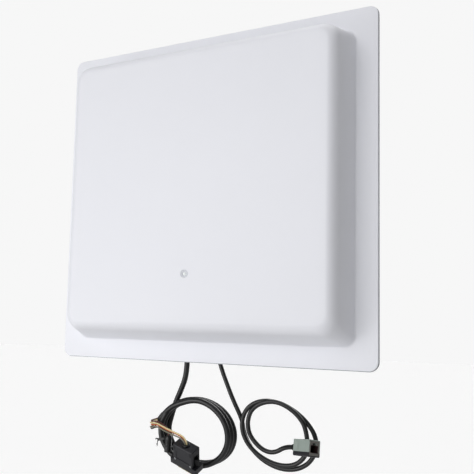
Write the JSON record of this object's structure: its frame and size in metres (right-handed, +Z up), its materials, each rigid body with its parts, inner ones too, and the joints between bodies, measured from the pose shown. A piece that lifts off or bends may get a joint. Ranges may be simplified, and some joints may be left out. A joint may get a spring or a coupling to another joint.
{
  "type": "security gate reader antenna panel",
  "caption": "Flat square reader antenna panel for a security gate: raised plastic cover on a metal back plate with rear studs, and two cables hanging in coils to their connectors.",
  "frame": {"origin": "centre of the four rear studs, on the back plate's rear face", "axes": "+Z up, +X to the right seen from the front, +Y out of the rear face along the studs, so that the front looks along -Y"},
  "size_m": [0.445, 0.085, 0.586],
  "materials": {
    "white_abs": "satin",
    "sheet_aluminium": "matte",
    "patch_aluminium": "satin",
    "silicone": "matte",
    "zinc_steel": "satin",
    "screw_steel": "satin",
    "brass_posts": "satin",
    "nylon": "satin",
    "circuit_board": "satin",
    "copper": "satin",
    "tin_plate": "satin",
    "chip_epoxy": "matte",
    "capacitor_can": "satin",
    "light_acrylic": "gloss",
    "black_abs": "satin",
    "black_nylon": "satin",
    "black_pbt": "satin",
    "black_pvc": "satin",
    "data_jacket": "satin",
    "network_jacket": "satin",
    "yellow_pvc": "gloss",
    "orange_pvc": "gloss",
    "grey_pvc": "gloss",
    "red_pvc": "gloss",
    "yellow_zinc_steel": "satin",
    "black_nickel_steel": "satin",
    "jack_plastic": "satin",
    "gold_contacts": "satin"
  },
  "bodies": {
    "root": {"back_plate": "sheet_aluminium", "board_capacitors": "capacitor_can", "board_chips": "chip_epoxy", "board_plugs": "nylon", "board_posts": "brass_posts", "buzzer": "chip_epoxy", "cable_hood": "black_abs", "coax_jumper": "copper", "cover_screws": "screw_steel", "data_cable": "data_jacket", "data_coil": "data_jacket", "data_inner_cable": "data_jacket", "data_tail": "data_jacket", "dsub_hood_front": "black_abs", "dsub_hood_rear": "black_abs", "dsub_insulator": "black_pbt", "dsub_shell": "yellow_zinc_steel", "feed_board": "circuit_board", "feed_pins": "copper", "feed_traces": "copper", "gland_bodies": "black_nylon", "gland_caps": "black_nylon", "gland_locknuts": "black_nylon", "gland_seals": "silicone", "hood_nuts": "zinc_steel", "hood_screws": "screw_steel", "hood_seal": "silicone", "inner_screws": "screw_steel", "jack_boot": "black_pvc", "jack_contacts": "gold_contacts", "jack_housing": "jack_plastic", "jack_shield": "tin_plate", "light_bezel": "white_abs", "light_pipe": "light_acrylic", "mounting_studs": "zinc_steel", "network_cable": "network_jacket", "network_coil": "network_jacket", "network_inner_cable": "network_jacket", "network_tail": "network_jacket", "patch_lower_left": "patch_aluminium", "patch_lower_right": "patch_aluminium", "patch_screws": "nylon", "patch_spacers": "nylon", "patch_upper_left": "patch_aluminium", "patch_upper_right": "patch_aluminium", "perimeter_seal": "silicone", "power_socket": "black_pvc", "power_wires": "red_pvc", "radome_cover": "white_abs", "reader_board": "circuit_board", "reflector_plate": "sheet_aluminium", "reflector_posts": "brass_posts", "shield_can": "tin_plate", "status_lamp": "light_acrylic", "twist_tie": "black_pvc", "wire_grey": "grey_pvc", "wire_orange": "orange_pvc", "wire_yellow": "yellow_pvc"},
    "thumbscrew_left": {"thumbscrew_left": "black_nickel_steel"},
    "thumbscrew_right": {"thumbscrew_right": "black_nickel_steel"}
  },
  "joints": [
    {"name": "thumbscrew_left_turn", "type": "hinge", "parent": "root", "child": "thumbscrew_left", "pos_m": [-0.03126, -0.00872, -0.34741], "axis": [0.1726, -0.4596, 0.8712], "continuous": true},
    {"name": "thumbscrew_right_turn", "type": "hinge", "parent": "root", "child": "thumbscrew_right", "pos_m": [0.00026, -0.01428, -0.35659], "axis": [0.1726, -0.4596, 0.8712], "continuous": true}
  ]
}
